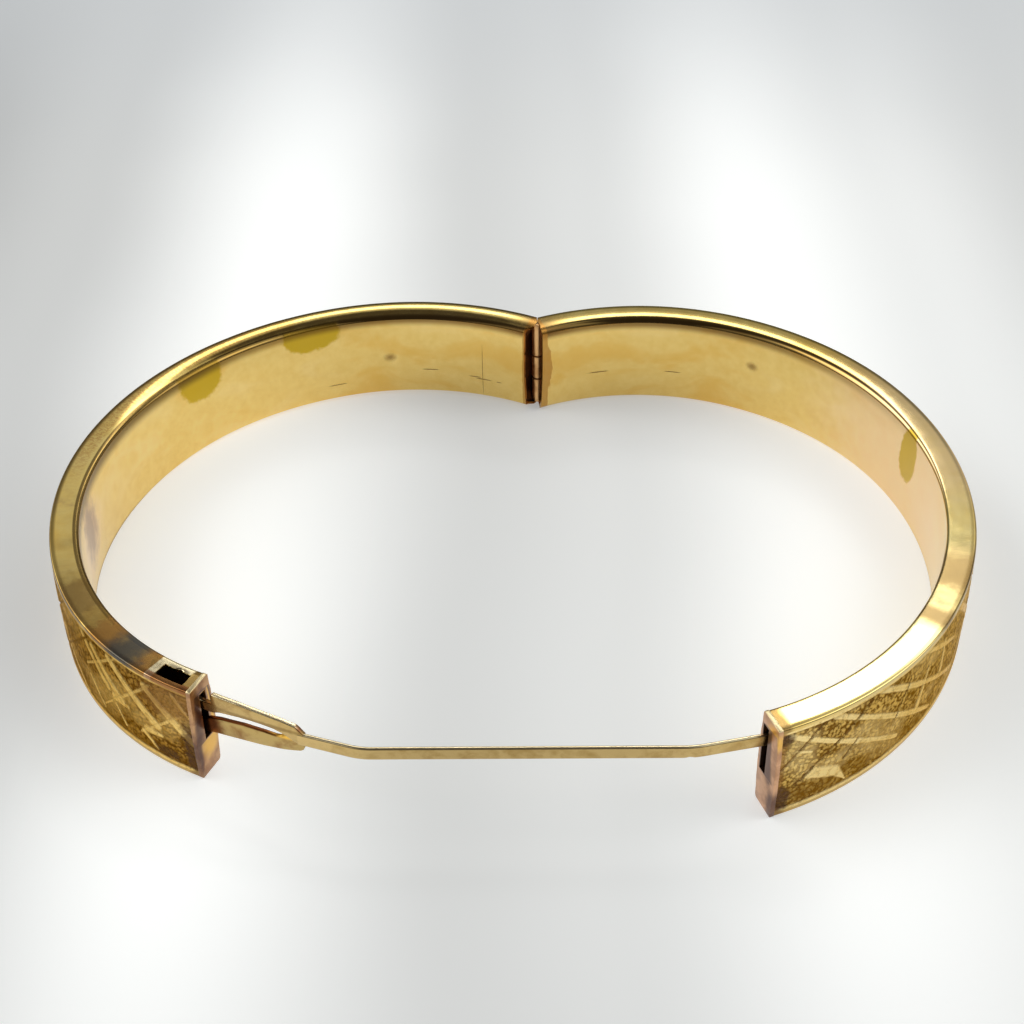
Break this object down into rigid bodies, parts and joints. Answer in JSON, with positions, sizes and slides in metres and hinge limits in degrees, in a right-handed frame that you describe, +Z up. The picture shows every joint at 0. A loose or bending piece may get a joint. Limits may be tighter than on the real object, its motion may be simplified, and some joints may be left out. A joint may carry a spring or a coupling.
{
  "type": "hinged bangle",
  "caption": "Hinged oval bangle of hollow gold-coloured metal, engraved over the outer wall, open at its snap clasp with a thin safety bar across the gap.",
  "frame": {"origin": "centre of the open bangle's box, on the surface that its lower rim rests on", "axes": "+Z up along the band's height and the wrist's axis, +Y from the clasp gap towards the hinge, +X towards the half without the tongue"},
  "size_m": [0.0834, 0.063, 0.01],
  "materials": {
    "band_metal": "satin gold-coloured metal, bright-cut engraving outside, worn lining",
    "pin_metal": "tarnished",
    "spring_metal": "satin, a little tarnished at the root",
    "bar_metal": "polished and scratched"
  },
  "bodies": {
    "left_side": {"left_half": "band_metal", "snap_tongue": "spring_metal", "safety_bar": "bar_metal"},
    "right_side": {"right_half": "band_metal", "hinge_pin": "pin_metal"},
    "catch": {"catch_leaf": "spring_metal"}
  },
  "joints": [
    {"name": "main_hinge", "type": "hinge", "parent": "left_side", "child": "right_side", "pos_m": [0.00285, 0.02714, 0.005], "axis": [0, 0, 1], "range_deg": [-45.2, 0], "deforming": ["safety_bar"]},
    {"name": "catch_press", "type": "hinge", "parent": "left_side", "child": "catch", "pos_m": [-0.01863, -0.02792, 0.0072], "axis": [-0.4095, -0.9123, 0], "range_deg": [0, 8], "stiffness_Nm_per_rad": 0.05}
  ]
}
